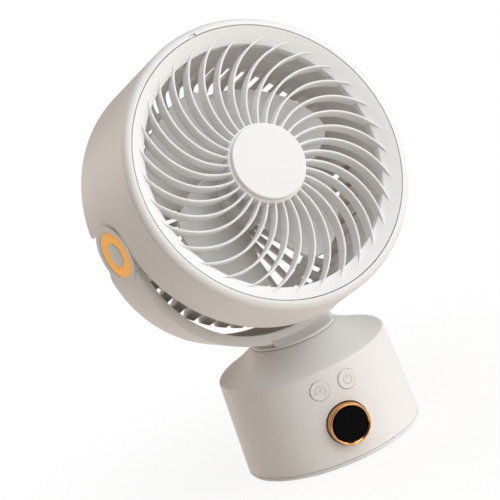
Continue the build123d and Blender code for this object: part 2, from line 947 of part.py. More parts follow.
def motor_screws():
    seat = basket_rear + screw_head_height
    length = motor_post_top() - 2 * loose_gap - seat
    return [place * screw(length) for place in spots(motor_post_circle, motor_screw_angles, seat)]


def motor_board():
    low = motor_post_top()
    return tube(motor_board_radius, bearing_tube_radius + loose_gap, low, low + board_thickness)


def motor_bearings():
    low = motor_floor()
    bore = fan_shaft_radius + turning_gap
    rear = tube(bearing_radius, bore, low, low + bearing_length)
    front = tube(bearing_radius, bore, bearing_tube_front - bearing_length, bearing_tube_front)
    return [rear, front]


def can_radius():
    return hub_radius - hub_wall - turning_gap


def magnet_inner_radius():
    return can_radius() - can_wall - turning_gap - magnet_thickness


def stator_radius():
    return magnet_inner_radius() - air_gap


def stator_core():
    tip = stator_radius()
    outward = (Align.MIN, Align.CENTER)
    tooth = Rectangle(tip - shoe_thickness / 2, tooth_width, align=outward)
    shoe = Pos(tip - shoe_thickness, 0) * Rectangle(shoe_thickness * 2, shoe_width, align=outward)
    arms = [Rot(0, 0, angle) * (tooth + shoe) for angle in even_angles(stator_teeth)]
    plate = ((Circle(stator_hub_radius) + arms) & Circle(tip)) - Circle(bearing_tube_radius + thrust_gap)
    return Pos(0, 0, stator_rear) * extrude(plate, stator_front - stator_rear)


def stator_coils():
    length = stator_radius() - shoe_thickness - coil_inner_radius - loose_gap
    width = tooth_width + sliding_gap
    height = stator_front - stator_rear + sliding_gap
    outer = Box(length, width + 2 * coil_thickness, height + 2 * coil_thickness)
    outer = fillet(outer.edges().filter_by(Axis.X), coil_thickness)
    coil = outer - Box(2 * length, width, height)
    coil = Pos(coil_inner_radius + length / 2, 0, (stator_front + stator_rear) / 2) * coil
    return [Rot(0, 0, angle) * coil for angle in even_angles(stator_teeth)]


# Impeller and rotor
def blade_point(share, row):
    # Share runs from the rear edge to the front edge, row from the root to the tip
    root = hub_radius - hub_wall / 2
    tip = blade_tip_radius - blade_corner_cut * (2 * share - 1) ** 4
    radius = root + (tip - root) * row
    reach = (radius - root) / (blade_tip_radius - root)
    sweep = blade_root_sweep + (blade_tip_sweep - blade_root_sweep) * reach
    turn = math.radians(blade_rear_angle - sweep * share)
    height = blade_rear + (blade_front - blade_rear) * share
    return Vector(radius * math.cos(turn), radius * math.sin(turn), height)


def blade():
    rows = []
    for step in range(blade_stations):
        share = step / (blade_stations - 1)
        rows.append([blade_point(share, row / (blade_rows - 1)) for row in range(blade_rows)])
    surface = Face.make_surface_from_array_of_points(rows)
    return thicken(surface, blade_thickness / 2, both=True)


def impeller():
    inner = hub_radius - hub_wall
    under = hub_front - hub_wall
    bore = fan_shaft_radius + turning_gap
    profile = outline(
        [(bore, can_front), (hub_boss_radius, can_front), (hub_boss_radius, under), (inner, under),
         (inner, hub_rear), (hub_radius, hub_rear), (hub_radius, hub_front), (bore, hub_front)],
        [((hub_radius, hub_front), hub_round), ((inner, under), hub_round - hub_wall)],
    )
    vane = blade() - disc(inner + loose_gap, hub_rear, 2 * blade_front)
    vanes = [Rot(0, 0, angle) * vane for angle in even_angles(blade_count)]
    return turned(profile) + vanes


def rotor_can():
    outer = can_radius()
    cup = disc(outer, can_rear, can_front) - disc(outer - can_wall, can_rear - 1, can_front - can_wall)
    return cup - disc(fan_shaft_radius + turning_gap, can_rear, can_front + 1)


def rotor_magnet():
    inner = magnet_inner_radius()
    return tube(inner + magnet_thickness, inner, magnet_rear, magnet_front)


def motor_shaft():
    return disc(fan_shaft_radius, fan_shaft_rear, fan_shaft_front)


def impeller_nut():
    nut = disc(hub_boss_radius, hub_front, hub_front + nut_height)
    nut = fillet(nut.edges().group_by(Axis.Z)[-1], nut_round)
    return nut - disc(fan_shaft_radius + turning_gap, hub_front - 1, fan_shaft_front + thrust_gap)


# Knob ring and push buttons
def knob_ring():
    body_back = knob_cup_floor + loose_gap
    lip_front = knob_cup_floor - knob_cup_thickness - loose_gap
    lip_back = lip_front - knob_lip_thickness
    skirt = knob_skirt_radius()
    lip = skirt + knob_lip
    profile = outline(
        [(knob_inner_radius, lip_back), (lip, lip_back), (lip, lip_front), (skirt, lip_front),
         (skirt, body_back), (knob_back_radius, body_back), (knob_front_radius, knob_reach),
         (knob_inner_radius, knob_reach)],
        [((knob_front_radius, knob_reach), knob_edge_round)],
    )
    return knob_place() * Rot(90, 0, 0) * turned(profile)


def push_button(side):
    slope = math.radians(button_azimuth)
    flange_front = base_radius_at(button_height) - base_wall - loose_gap
    face = base_radius_at(button_height) + button_stand
    cap = front_rod(button_radius, flange_front - turning_gap, face)
    cap = fillet(cap.edges().group_by(Axis.Y)[0], button_edge_round)
    flange = front_rod(button_radius + button_flange, flange_front - button_flange_thickness, flange_front)
    stem_rest = switch_top() / math.cos(slope) + switch_stem_radius * math.tan(slope)
    plunger = front_rod(plunger_radius, stem_rest + button_travel + thrust_gap, flange_front)
    return Rot(0, 0, side * button_azimuth) * Pos(0, 0, button_height) * (cap + flange + plunger)


# Export, one file for each node
def save(name, shape, place=Location()):
    pieces = shape if isinstance(shape, list) else [shape]
    solids = []
    for piece in pieces:
        solids += [place * solid for solid in piece.solids()]
    result = solids[0] if len(solids) == 1 else Compound(children=solids)
    result.label = name
    export_step(result, f"parts/{name}.step")


os.makedirs("parts", exist_ok=True)

save("base_shell", base_shell())
save("base_cover", base_cover())
save("foot_pad", foot_pad())
save("cover_screws", cover_screws())
save("ballast_plate", ballast_plate())
save("battery_cradle", battery_cradle())
save("battery_cells", battery_cells())
save("control_board", control_board())
save("encoder", encoder())
save("display_holder", display_holder())
save("display_panel", display_panel())
save("display_glass", display_glass())
save("tact_switches", tact_switches())
save("charge_board", charge_board())
save("usb_socket", usb_socket())
save("swing_motor", swing_motor())
save("swing_motor_screws", swing_motor_screws())
save("neck_bush", neck_bush())
save("knob_ring", knob_ring())
save("power_button", push_button(1))
save("swing_button", push_button(-1))

swing = swing_frame()
save("turntable", turntable(), swing)
save("turntable_retainer", turntable_retainer(), swing)
save("retainer_screws", retainer_screws(), swing)
save("swing_shaft", swing_shaft(), swing)

yoke = yoke_frame()
save("yoke_shell", yoke_shell(), yoke)
save("yoke_liner", yoke_liner(), yoke)
save("accent_ring_right", accent_ring(1), yoke)
save("accent_ring_left", accent_ring(-1), yoke)
save("pivot_cap_right", pivot_cap(1), yoke)
save("pivot_cap_left", pivot_cap(-1), yoke)
save("pivot_pin_right", pivot_pin(1), yoke)
save("pivot_pin_left", pivot_pin(-1), yoke)
save("pivot_washers", pivot_washers(), yoke)

head = head_frame()
save("head_shell", head_shell(), head)
save("front_grille", front_grille(), head)
save("hub_cap", hub_cap(), head)
save("front_duct", front_duct(), head)
save("shell_screws", shell_screws(), head)
save("rear_basket", rear_basket(), head)
save("motor_mount", motor_mount(), head)
save("motor_screws", motor_screws(), head)
save("motor_board", motor_board(), head)
save("motor_bearings", motor_bearings(), head)
save("stator_core", stator_core(), head)
save("stator_coils", stator_coils(), head)
save("impeller", impeller(), head)
save("rotor_can", rotor_can(), head)
save("rotor_magnet", rotor_magnet(), head)
save("motor_shaft", motor_shaft(), head)
save("impeller_nut", impeller_nut(), head)
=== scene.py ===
# %% [markdown]
# # A small desk fan, dressed for a studio picture
# The fan is a white moulded drum that tilts in a yoke, and the yoke swings on a flared
# base with a copper knob. Its solids come ready made, in metres. This lesson gives them
# their finishes, makes the few pieces afresh that the eye rests on, and sets up the light
# and the camera.
# %% Load the frame
import math

import bpy
import numpy as np
from mathutils import Matrix


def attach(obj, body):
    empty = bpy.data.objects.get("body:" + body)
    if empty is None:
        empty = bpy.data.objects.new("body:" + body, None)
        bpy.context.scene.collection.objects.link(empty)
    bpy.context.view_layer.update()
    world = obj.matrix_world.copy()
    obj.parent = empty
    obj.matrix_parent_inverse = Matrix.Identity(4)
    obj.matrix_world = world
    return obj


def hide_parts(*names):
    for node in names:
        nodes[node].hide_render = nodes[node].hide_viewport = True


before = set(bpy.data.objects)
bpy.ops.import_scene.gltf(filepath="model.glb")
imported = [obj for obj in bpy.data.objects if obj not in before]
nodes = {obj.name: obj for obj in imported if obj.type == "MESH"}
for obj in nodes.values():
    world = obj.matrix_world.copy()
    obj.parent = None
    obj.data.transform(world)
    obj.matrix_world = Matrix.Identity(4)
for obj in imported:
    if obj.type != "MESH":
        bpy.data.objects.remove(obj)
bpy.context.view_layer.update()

print("CAD nodes:", len(nodes))

# %% [markdown]
# Everything here is measured in millimetres on the real fan, while Blender works in
# metres, so one factor turns a written size into a length. The upward direction is used
# so often that it gets a name too.
# %% Units
MM = 0.001
UP = np.array([0.0, 0.0, 1.0])
print("one millimetre is", MM, "m")

# %% [markdown]
# A colour is written as the sRGB hex value that one would pick from a colour chart.
# Blender's sockets want light-linear numbers, so one function does that change with the
# usual curve: a short straight part near black, then a power of 2.4.
# %% Colours
def linear(code):
    """Hex "rrggbb" to linear RGBA: c/12.92 below 0.04045, else ((c+0.055)/1.055)^2.4."""
    srgb = np.array([int(code[i : i + 2], 16) for i in (0, 2, 4)]) / 255
    low = srgb / 12.92
    high = ((srgb + 0.055) / 1.055) ** 2.4
    return (*np.where(srgb <= 0.04045, low, high).tolist(), 1.0)


print("half grey in linear light:", round(linear("808080")[0], 3))

# %% [markdown]
# A material is a small graph of nodes. Adding one node means picking its type, setting
# its values and wiring its inputs, so one helper does all three at once. Most inputs go by
# their name. Where a node has several of one name, they are counted from 0, as in _0.
# %% A helper for shader nodes
def add_node(tree, kind, settings=None, **inputs):
    """Adds a node; settings are attributes; inputs are values or output sockets."""
    node = tree.nodes.new(kind)
    for name, value in (settings or {}).items():
        setattr(node, name, value)
    for name, value in inputs.items():
        key = int(name[1:]) if name[1:].isdigit() else name.replace("_", " ")
        if isinstance(value, bpy.types.NodeSocket):
            tree.links.new(value, node.inputs[key])
        else:
            node.inputs[key].default_value = value
    return node


def empty_material(name):
    """A new material and its node tree, with the ready-made nodes taken out."""
    material = bpy.data.materials.new(name)
    material.use_nodes = True
    material.node_tree.nodes.clear()
    return material, material.node_tree


print("node types to pick from:", sum(kind.startswith("ShaderNode") for kind in dir(bpy.types)))

# %% [markdown]
# No real surface has one flat colour. On plastic and on metal alike, tint and gloss
# wander a little together. A painted image could hold that, but it would have to be
# unwrapped for 51 solids. Here a noise pattern is read twice instead: once to mix two
# close tints, and once to move the roughness up and down.
# %% Tint and gloss from one pattern
PATTERN_LOW, PATTERN_HIGH = 0.3, 0.7


def tint_and_gloss(tree, pattern, shade, worn, roughness, spread):
    """Two outputs: the two tints mixed by the pattern, and roughness -spread to +spread."""
    tint = add_node(
        tree,
        "ShaderNodeMix",
        {"data_type": "RGBA"},
        _0=pattern,
        _6=linear(shade),
        _7=linear(worn),
    )
    gloss = add_node(
        tree,
        "ShaderNodeMapRange",
        Value=pattern,
        From_Min=PATTERN_LOW,
        From_Max=PATTERN_HIGH,
        To_Min=roughness - spread,
        To_Max=roughness + spread,
    )
    return tint.outputs[2], gloss.outputs["Result"]


print("a noise is read between", PATTERN_LOW, "and", PATTERN_HIGH)

# %% [markdown]
# Most of the fan is injection-moulded ABS, and the mould was spark-eroded, which leaves a
# field of soft pits on the piece. They are about a tenth of a millimetre apart, too fine
# for this picture, so they are drawn at about half a millimetre. Up close they look like
# grain; from a step away they only blur the highlights. A slower noise, a few centimetres
# wide, stands for the places where the melt flowed and where hands have touched it.
# %% Moulded plastic
DRIFT_MM = 38.0
PIT_STRENGTH, PLASTIC_SPREAD = 0.25, 0.05


def moulded_plastic(
    name, shade, worn, roughness=0.48, grain_mm=0.45, grain_depth=0.02, shine=0.5
):
    """ABS: two close tints mixed by a slow noise, roughness drift, and a pitted bump."""
    material, tree = empty_material(name)
    place = add_node(tree, "ShaderNodeTexCoord").outputs["Object"]
    drift = add_node(
        tree, "ShaderNodeTexNoise", Vector=place, Scale=1 / (DRIFT_MM * MM), Detail=3.0
    )
    grain = add_node(
        tree, "ShaderNodeTexNoise", Vector=place, Scale=1 / (grain_mm * MM), Detail=1.0
    )
    pits = add_node(
        tree,
        "ShaderNodeBump",
        Strength=PIT_STRENGTH,
        Distance=grain_depth * MM,
        Height=grain.outputs["Fac"],
    )
    tint, gloss = tint_and_gloss(
        tree, drift.outputs["Fac"], shade, worn, roughness, PLASTIC_SPREAD
    )
    shader = add_node(
        tree,
        "ShaderNodeBsdfPrincipled",
        Base_Color=tint,
        Roughness=gloss,
        IOR=1.5,
        Specular_IOR_Level=shine,
        Normal=pits.outputs["Normal"],
    )
    add_node(tree, "ShaderNodeOutputMaterial", Surface=shader.outputs["BSDF"])
    return material


# The outer shells: the pits spread each highlight into a satin sheen
abs_white = moulded_plastic("abs_satin_white", "efeeed", "f3f2f1")
# The grille comes from a rougher mould, so it is more matt and shows hardly any glint
abs_grille = moulded_plastic("abs_grille_white", "f0f0f0", "f3f3f3", roughness=0.65)
# The drum inside and the impeller: the same plastic, a little rougher, and darker as painted
# shade
abs_inner_painted_shade = moulded_plastic("abs_inner_painted_shade_white", "e2e0de", "e8e6e4", roughness=0.55)
# The liner of the yoke gets a darker warm grey, painted shade so the gap under the head looks
# deep
abs_liner_painted_shade = moulded_plastic("abs_liner_painted_shade_grey", "9c958e", "a69f98", roughness=0.6)
# Holders inside the base: black, with a dull gleam
abs_black = moulded_plastic("abs_black", "151515", "1c1c1c", roughness=0.5)
# Bearings and washers are turned from acetal, which looks creamy and waxy
acetal = moulded_plastic("acetal_natural", "eceae2", "f2f0ea", roughness=0.35)
plastics = (abs_white, abs_grille, abs_inner_painted_shade, abs_liner_painted_shade, abs_black, acetal)
print("plastics:", [material.name for material in plastics])

# %% [markdown]
# Bare and plated metal parts are turned, drawn or stamped. Fine scratches along one
# direction stretch the highlight, which a noise squeezed in one axis imitates: the three
# stretch numbers say how much finer the pattern is along X, Y and Z. The real scratches
# are a few hundredths of a millimetre wide, so they are drawn coarser to show at all. A
# metal keeps the default IOR, because its colour is its reflection.
# %% Metals
MARK_STRENGTH, METAL_SPREAD = 0.2, 0.06


def drawn_metal(name, shade, worn, roughness, grain_mm, stretch, mark_depth=0.01):
    """Metal: two tints and a roughness drift read from noise stretched along one axis."""
    material, tree = empty_material(name)
    place = add_node(tree, "ShaderNodeTexCoord").outputs["Object"]
    turned = add_node(tree, "ShaderNodeMapping", Vector=place, Scale=stretch)
    lines = add_node(
        tree,
        "ShaderNodeTexNoise",
        Vector=turned.outputs["Vector"],
        Scale=1 / (grain_mm * MM),
        Detail=2.0,
    )
    marks = add_node(
        tree,
        "ShaderNodeBump",
        Strength=MARK_STRENGTH,
        Distance=mark_depth * MM,
        Height=lines.outputs["Fac"],
    )
    tint, gloss = tint_and_gloss(
        tree, lines.outputs["Fac"], shade, worn, roughness, METAL_SPREAD
    )
    shader = add_node(
        tree,
        "ShaderNodeBsdfPrincipled",
        Base_Color=tint,
        Metallic=1.0,
        Roughness=gloss,
        Normal=marks.outputs["Normal"],
    )
    add_node(tree, "ShaderNodeOutputMaterial", Surface=shader.outputs["BSDF"])
    return material


# Screws, pins and cans are zinc plated: a cool grey with a soft, drawn-out shine
steel = drawn_metal("zinc_plated_steel", "b9bab8", "c9c9c6", 0.32, 0.6, (1, 1, 0.1))
# The knob ring is turned and plated in rose copper: bright edges, a dark underside
copper = drawn_metal("rose_copper_plate", "d2985f", "dea86f", 0.2, 0.5, (0.1, 1, 0.1))
# The ballast plate was blackened in an oil bath and hardly reflects
dark_steel = drawn_metal("blackened_steel", "3a3a3c", "48484a", 0.5, 0.8, (1, 1, 1))
# The motor mount is cast, so its gloss is patchy in all directions
cast_aluminium = drawn_metal("cast_aluminium", "b4b4b6", "c0c0c2", 0.45, 0.9, (1, 1, 1))
# The coils are lacquered copper wire, laid side by side, with a brown glow
copper_wire = drawn_metal("enamelled_copper", "a85f32", "bd7440", 0.3, 0.35, (1, 1, 8))
# The bearings are pressed from bronze powder and soaked with oil: dull yellow brown
bronze = drawn_metal("sintered_bronze", "a98b4e", "b89a5c", 0.5, 0.4, (1, 1, 1))
# The pivot rings are metallised in a satin orange, which stays bright in the shade
# because it mirrors the pale surroundings
trim_orange = drawn_metal("metallised_orange", "eda64a", "f2b056", 0.36, 0.3, (1, 1, 1))
metals = (steel, copper, dark_steel, cast_aluminium, copper_wire, bronze, trim_orange)
print("metals:", [material.name for material in metals])

# %% [markdown]
# Rubber, pressed ferrite powder, board lacquer and the shrink sleeve of a cell are no ABS,
# but the eye tells them apart by tint, gloss and grain alone, so the recipe of the moulded
# plastic serves for them as well.
# %% Rubber, ferrite, board lacquer and cell sleeve
# Soft foot rubber: no gloss, with a coarse matt grain
rubber = moulded_plastic("foot_rubber", "1d1d1d", "262626", roughness=0.8, grain_mm=0.8)
# Ferrite is pressed and fired: a blunt dark grey
ferrite = moulded_plastic("pressed_ferrite", "2b2b2e", "343437", roughness=0.7)
# Solder lacquer was poured on and cured, so the boards gleam
board_lacquer = moulded_plastic("board_lacquer", "1f4a2e", "275a38", roughness=0.3)
# The sleeve is thin film, shrunk on with heat: smooth and shiny
cell_sleeve = moulded_plastic("shrink_sleeve_blue", "24548c", "2c5f9a", roughness=0.3)
print("other finishes:", [item.name for item in (rubber, ferrite, board_lacquer, cell_sleeve)])

# %% [markdown]
# The round window over the display is black smoked acrylic, cast between polished plates:
# nearly black and very smooth. In a white studio a full mirror would turn it grey, so its
# shine is lowered until it looks as deep as the real window, and the grain becomes a long
# swell that only just bends a reflection.
# %% Smoked window
smoked = moulded_plastic(
    "smoked_acrylic",
    "010101",
    "020202",
    roughness=0.12,
    grain_mm=6,
    grain_depth=0.002,
    shine=0.06,
)
print("window:", smoked.name)

# %% [markdown]
# Each CAD node takes the finish of the real piece. One could pick the solids one by one in
# the viewport, but a list that runs from finish to nodes can be read and checked. A node's
# mesh is left as it is; only its material slots are filled.
# %% Finishes of the nodes
finishes = {
    abs_white: (
        "base_shell base_cover power_button swing_button turntable yoke_shell "
        "pivot_cap_left pivot_cap_right head_shell"
    ),
    abs_grille: "front_grille hub_cap",
    abs_inner_painted_shade: "front_duct rear_basket impeller impeller_nut",
    abs_liner_painted_shade: "yoke_liner",
    abs_black: "battery_cradle encoder display_holder tact_switches",
    acetal: "neck_bush turntable_retainer pivot_washers",
    trim_orange: "accent_ring_left accent_ring_right",
    steel: (
        "cover_screws usb_socket swing_motor swing_motor_screws retainer_screws "
        "swing_shaft pivot_pin_left pivot_pin_right shell_screws motor_screws "
        "stator_core rotor_can motor_shaft"
    ),
    copper: "knob_ring",
    dark_steel: "ballast_plate",
    cast_aluminium: "motor_mount",
    copper_wire: "stator_coils",
    bronze: "motor_bearings",
    rubber: "foot_pad",
    ferrite: "rotor_magnet",
    board_lacquer: "control_board charge_board motor_board",
    cell_sleeve: "battery_cells",
    smoked: "display_glass display_panel",
}
for finish, names in finishes.items():
    for name in names.split():
        mesh = nodes[name].data
        mesh.materials.clear()
        mesh.materials.append(finish)
print("nodes dressed:", sum(len(names.split()) for names in finishes.values()))

# %% [markdown]
# Some pieces look better when they are made for the picture than when they come from the
# CAD solids. All of them are grids: rows of points joined by quads. So one function turns
# a grid into a mesh object. The rows either run round in a loop, as on a lathe, or they
# end in two caps, as on a bar. A closed skin has a positive volume when its faces look
# outwards, so the sign of the volume tells whether the faces have to be turned round.
# %% From grids of points to a mesh
SHARP_EDGE = math.radians(35)


def skin(name, grids, finish, loop):
    """Object from closed grids (count, rows, ring, 3); each ring closes; volume > 0."""
    count, rows, ring = grids.shape[:3]
    index = np.arange(count * rows * ring).reshape(count, rows, ring)
    ahead = np.roll(index, -1, axis=1) if loop else index[:, 1:]
    here = index if loop else index[:, :-1]
    quads = np.stack(
        [here, np.roll(here, -1, axis=2), np.roll(ahead, -1, axis=2), ahead], axis=-1
    ).reshape(-1, 4)
    centred = (grids - grids.mean(axis=(1, 2), keepdims=True)).reshape(-1, 3)
    a, b, c, d = (centred[quads[:, k]] for k in range(4))
    volume = np.sum(np.cross(c - a, d - b) * (a + b + c + d)) / 24
    caps = [] if loop else [*index[:, 0, ::-1].tolist(), *index[:, -1].tolist()]
    faces = quads.tolist() + caps
    if volume < 0:
        faces = [face[::-1] for face in faces]
    mesh = bpy.data.meshes.new(name)
    mesh.from_pydata(grids.reshape(-1, 3).tolist(), [], faces)
    mesh.shade_smooth()
    mesh.set_sharp_from_angle(angle=SHARP_EDGE)
    mesh.materials.append(finish)
    item = bpy.data.objects.new(name, mesh)
    bpy.context.scene.collection.objects.link(item)
    return item


print("edges sharper than", round(math.degrees(SHARP_EDGE)), "degrees stay crisp")

# %% [markdown]
# Moulded and plated edges are never quite sharp, and it is the small round on them that
# catches the light. A Bevel modifier would do it after the fact. Since these pieces start
# from a drawn outline, rounding the outline itself is simpler, and it keeps the grid whole.
# %% Outlines with round corners
SIDE_SHARES = 2.2


def rounded(corners, radius, steps=4):
    """Each corner c becomes the curve (1-t)^2 start + 2t(1-t) c + t^2 end, t from 0 to 1."""
    corners = np.array(corners, float)
    before = np.roll(corners, 1, axis=0) - corners
    after = np.roll(corners, -1, axis=0) - corners
    to_before = np.linalg.norm(before, axis=1)[:, None]
    to_after = np.linalg.norm(after, axis=1)[:, None]
    # Two rounds that meet on a short side share it, with a small flat left between them
    reach = np.minimum(np.minimum(to_before, to_after) / SIDE_SHARES, radius)
    start = corners + before / to_before * reach
    end = corners + after / to_after * reach
    t = np.linspace(0, 1, steps)[None, :, None]
    curve = (
        (1 - t) ** 2 * start[:, None] + 2 * t * (1 - t) * corners[:, None] + t**2 * end[:, None]
    )
    return curve.reshape(-1, 2)


def box_outline(low, high, round_off):
    """Rounded rectangle between two (u, v) corners."""
    return rounded([low, (high[0], low[1]), high, (low[0], high[1])], round_off)


print("points of a rounded box:", len(box_outline((0, 0), (2, 1), 0.2)))

# %% [markdown]
# Rims, ears, rings and knobs are turned pieces. Blender's Screw modifier turns a profile
# as well, but it works about an object's own axis, while these stand askew in the fan. So
# the turning is written out: each profile point goes round the axis on its radius.
# %% Turned pieces
def lathe(profile, origin, axis, across, steps=128):
    """Grid of a (radius, height) profile turned about an axis: origin + r dir + h axis."""
    profile = np.array(profile, float)
    turn = np.linspace(0, 2 * math.pi, steps, endpoint=False)
    side = np.cross(axis, across)
    spoke = np.cos(turn)[:, None] * across + np.sin(turn)[:, None] * side
    points = origin + profile[None, :, :1] * spoke[:, None] + profile[None, :, 1:] * axis
    return (points * MM)[None]


plain_tube = lathe([(1, 0), (1, 2)], np.zeros(3), UP, np.array([1.0, 0.0, 0.0]))
print("grid of a plain tube:", plain_tube.shape)

# %% [markdown]
# The head looks up and to its left, so its pieces are drawn in its own directions: along
# the pivot axis, along the air flow, and across both. The yoke has the first of these, and
# the level direction that it faces. Its pivots lie a little behind the axis it swings on.
# %% Directions of the head
SWING, TILT = np.radians([17.6, 21.3])
PIVOT_HEIGHT, PIVOT_SETBACK = 149.0, 3.7
ACROSS = np.array([math.cos(SWING), math.sin(SWING), 0.0])
LEVEL = np.array([math.sin(SWING), -math.cos(SWING), 0.0])
PIVOT = UP * PIVOT_HEIGHT - LEVEL * PIVOT_SETBACK
FLOW = LEVEL * math.cos(TILT) + UP * math.sin(TILT)
RISE = np.cross(FLOW, ACROSS)
print("air flow:", np.round(FLOW, 3))

# %% [markdown]
# The front grille is the face of the fan: a bevelled ring, a hub ring, and 32 thin ribs
# that bend as they leave the hub and run out on the bevel in a sharp tip. Heights are
# counted along the air flow from the pivot axis, and radii from the middle of the head.
# %% Sizes of the grille
RIBS = 32
FIRST_RIB = np.radians(0.6)
BEND_RADIUS = 38.0
RIB_ROOT = 21.0
RIB_THICK, RIB_TIP_THICK = 1.25, 0.35
RIB_FRONT, RIB_REAR = 45.0, 37.5
OPENING, OPENING_FRONT = 66.7, 42.4
RIM, CREST = 75.1, 48.0
BEVEL = (CREST - OPENING_FRONT) / (RIM - OPENING)
TIP_REACH = OPENING + (RIB_FRONT - OPENING_FRONT) / BEVEL
THINNING, CLIMB, SINK = 8.0, 0.5, 1.2
RIM_ROUND = 0.35
print("the ribs end at a radius of", round(TIP_REACH, 1), "mm")

# %% [markdown]
# Each rib is one bar swept along an arc. Its cross-section is a tall bar with a rounded
# front edge, as a moulded rib has. One rib with an Array modifier about the hub would make
# the ring of them, but the export wants finished meshes, and turning the points of one rib
# by 32 angles at once is a single array product. Past the opening a rib narrows, and its
# back climbs with the bevel, so it shows as a point that lies on the ring.
# %% Ribs of the grille
def rib_line(bend):
    """Middle line of a rib: x = root + R sin(bend), y = R cos(bend) - R."""
    return RIB_ROOT + BEND_RADIUS * np.sin(bend), BEND_RADIUS * (np.cos(bend) - 1)


def rib_grid(turns):
    """Grids (rib, rows, ring, 3): line + normal * width, turned and set along the flow."""
    trial = np.linspace(0, 1, 400) * math.radians(100)
    tip_bend = np.interp(TIP_REACH, np.hypot(*rib_line(trial)), trial)
    bend = np.linspace(0, 1, 49) ** 0.9 * tip_bend
    x, y = rib_line(bend)
    reach = np.hypot(x, y)
    out = np.clip((reach - OPENING + THINNING) / (TIP_REACH - OPENING + THINNING), 0, 1)
    half = (RIB_THICK + (RIB_TIP_THICK - RIB_THICK) * out**2)[:, None] / 2
    under_bevel = OPENING_FRONT + (reach - OPENING) * BEVEL - SINK
    climbing = reach > OPENING + CLIMB
    rear = np.where(climbing, np.maximum(under_bevel, RIB_REAR), RIB_REAR)
    nose = np.linspace(0, math.pi, 7)
    wide = np.append(np.cos(nose), [-1.0, 1.0])
    tall = np.append(np.sin(nose), [0.0, 0.0])
    on_back = np.append(np.zeros(7), [1, 1]) > 0
    level = np.where(on_back, rear[:, None], RIB_FRONT - half) + half * tall
    flat_x = x[:, None] + np.sin(bend)[:, None] * wide * half
    flat_y = y[:, None] + np.cos(bend)[:, None] * wide * half
    cos, sin = np.cos(turns)[:, None, None], np.sin(turns)[:, None, None]
    turned_x, turned_y = cos * flat_x - sin * flat_y, sin * flat_x + cos * flat_y
    level = np.broadcast_to(level, turned_x.shape)
    parts = ((turned_x, ACROSS), (turned_y, RISE), (level, FLOW))
    return (PIVOT + sum(length[..., None] * way for length, way in parts)) * MM


turns = FIRST_RIB + np.arange(RIBS) * 2 * math.pi / RIBS
ribs = skin("grille_ribs", rib_grid(turns), abs_grille, loop=False)
print("rib faces:", len(ribs.data.polygons))

# %% [markdown]
# The ring and the hub of the grille are turned. The ring has the wide bevel in front and a
# spigot behind, which plugs into the drum. The hub is a cup: its profile starts and ends in
# a flat cap, which makes the back of the hub and the floor of the pocket for the hub cap.
# %% Ring and hub of the grille
RIM_REAR = 44.4
SPIGOT, SPIGOT_STEP = 69.4, 42.0
LEDGE = 72.85
HUB, HUB_POCKET, POCKET_FLOOR = 22.0, 18.5, 39.3
HUB_ROUND = 0.6

rim_outline = [
    (RIM, RIM_REAR),
    (RIM, CREST),
    (OPENING, OPENING_FRONT),
    (OPENING, RIB_REAR),
    (SPIGOT, RIB_REAR),
    (SPIGOT, SPIGOT_STEP),
    (LEDGE, RIM_REAR),
]
rim_profile = rounded(rim_outline, RIM_ROUND)
rim = skin("grille_rim", lathe(rim_profile, PIVOT, FLOW, ACROSS, 256), abs_grille, loop=True)
hub_profile = [
    (HUB, RIB_REAR),
    (HUB, RIB_FRONT - HUB_ROUND),
    (HUB - HUB_ROUND / 3, RIB_FRONT - HUB_ROUND / 4),
    (HUB - HUB_ROUND, RIB_FRONT),
    (HUB_POCKET, RIB_FRONT),
    (HUB_POCKET, POCKET_FLOOR),
]
hub_rows = lathe(hub_profile, PIVOT, FLOW, ACROSS).swapaxes(1, 2)
hub = skin("grille_hub", hub_rows, abs_grille, loop=False)
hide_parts("front_grille")
for piece in (ribs, rim, hub):
    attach(piece, "head")
print("grille faces:", sum(len(piece.data.polygons) for piece in (ribs, rim, hub)))

# %% [markdown]
# On each side the yoke ends in a flat round ear with an orange ring let into it and a
# plain cap in the middle. The band between the ears is 2 mm thicker here than the solid,
# and its front edge is a flat face. All of this stands close about the head, so the sizes
# are radii and widths about the pivot axis, kept clear of the head as it tilts.
# %% Sizes of the yoke
EAR_RADIUS, EAR_FACE = 16.4, 80.3
RING_OUTER, RING_INNER = 12.7, 6.6
RING_GAP, RING_SUNK = 0.15, 0.15
CAP_RADIUS, CAP_FACE = 6.45, 80.4
BAND_CORE, BAND_SKIN, BAND_HALF = 80.06, 82.0, 14.2
BAND_INNER, LIP_REAR, LIP_FRONT = 76.5, 14.22, 14.45
EAR_DROP = 9.0
RING_MARGIN, UNDER_RING, UNDER_EAR = 0.2, 0.4, 0.02
NECK_CLEAR, TAB_CLEAR = 22.0, 7.6
print("the yoke's face stands", round(LIP_FRONT - BAND_HALF, 2), "mm proud of the band")

# %% [markdown]
# The band is a strip swept round the head: at each angle from straight down stands the same
# small cross-section. Where it meets an ear it is planed flat, level with the ear's face,
# and under the ring it stays deeper. A Boolean could cut it, but limiting one coordinate of
# the grid gives the same plane and leaves clean quads.
# %% The yoke's band
def band_grid(side, section, start):
    """Grid of a strip: radius r at angle a from straight down gives (r sin a, -r cos a)."""
    low, high = math.asin(start / BAND_SKIN), math.acos(EAR_DROP / BAND_SKIN)
    angle = np.linspace(low, high, 97)[:, None]
    down = section[:, 0] * np.cos(angle)
    by_ring = down < RING_OUTER + RING_MARGIN
    plane = EAR_FACE - np.where(by_ring, UNDER_RING, UNDER_EAR)
    across = np.minimum(section[:, 0] * np.sin(angle), plane)
    level = np.broadcast_to(section[:, 1], across.shape)
    points = PIVOT + side * across[..., None] * ACROSS + level[..., None] * LEVEL
    return ((points - down[..., None] * UP) * MM)[None]


skin_section = box_outline((BAND_CORE, -BAND_HALF), (BAND_SKIN, BAND_HALF), 0.6)
lip_section = box_outline((BAND_INNER, LIP_REAR), (BAND_SKIN, LIP_FRONT), 0.15)
print("points round the band:", len(skin_section))

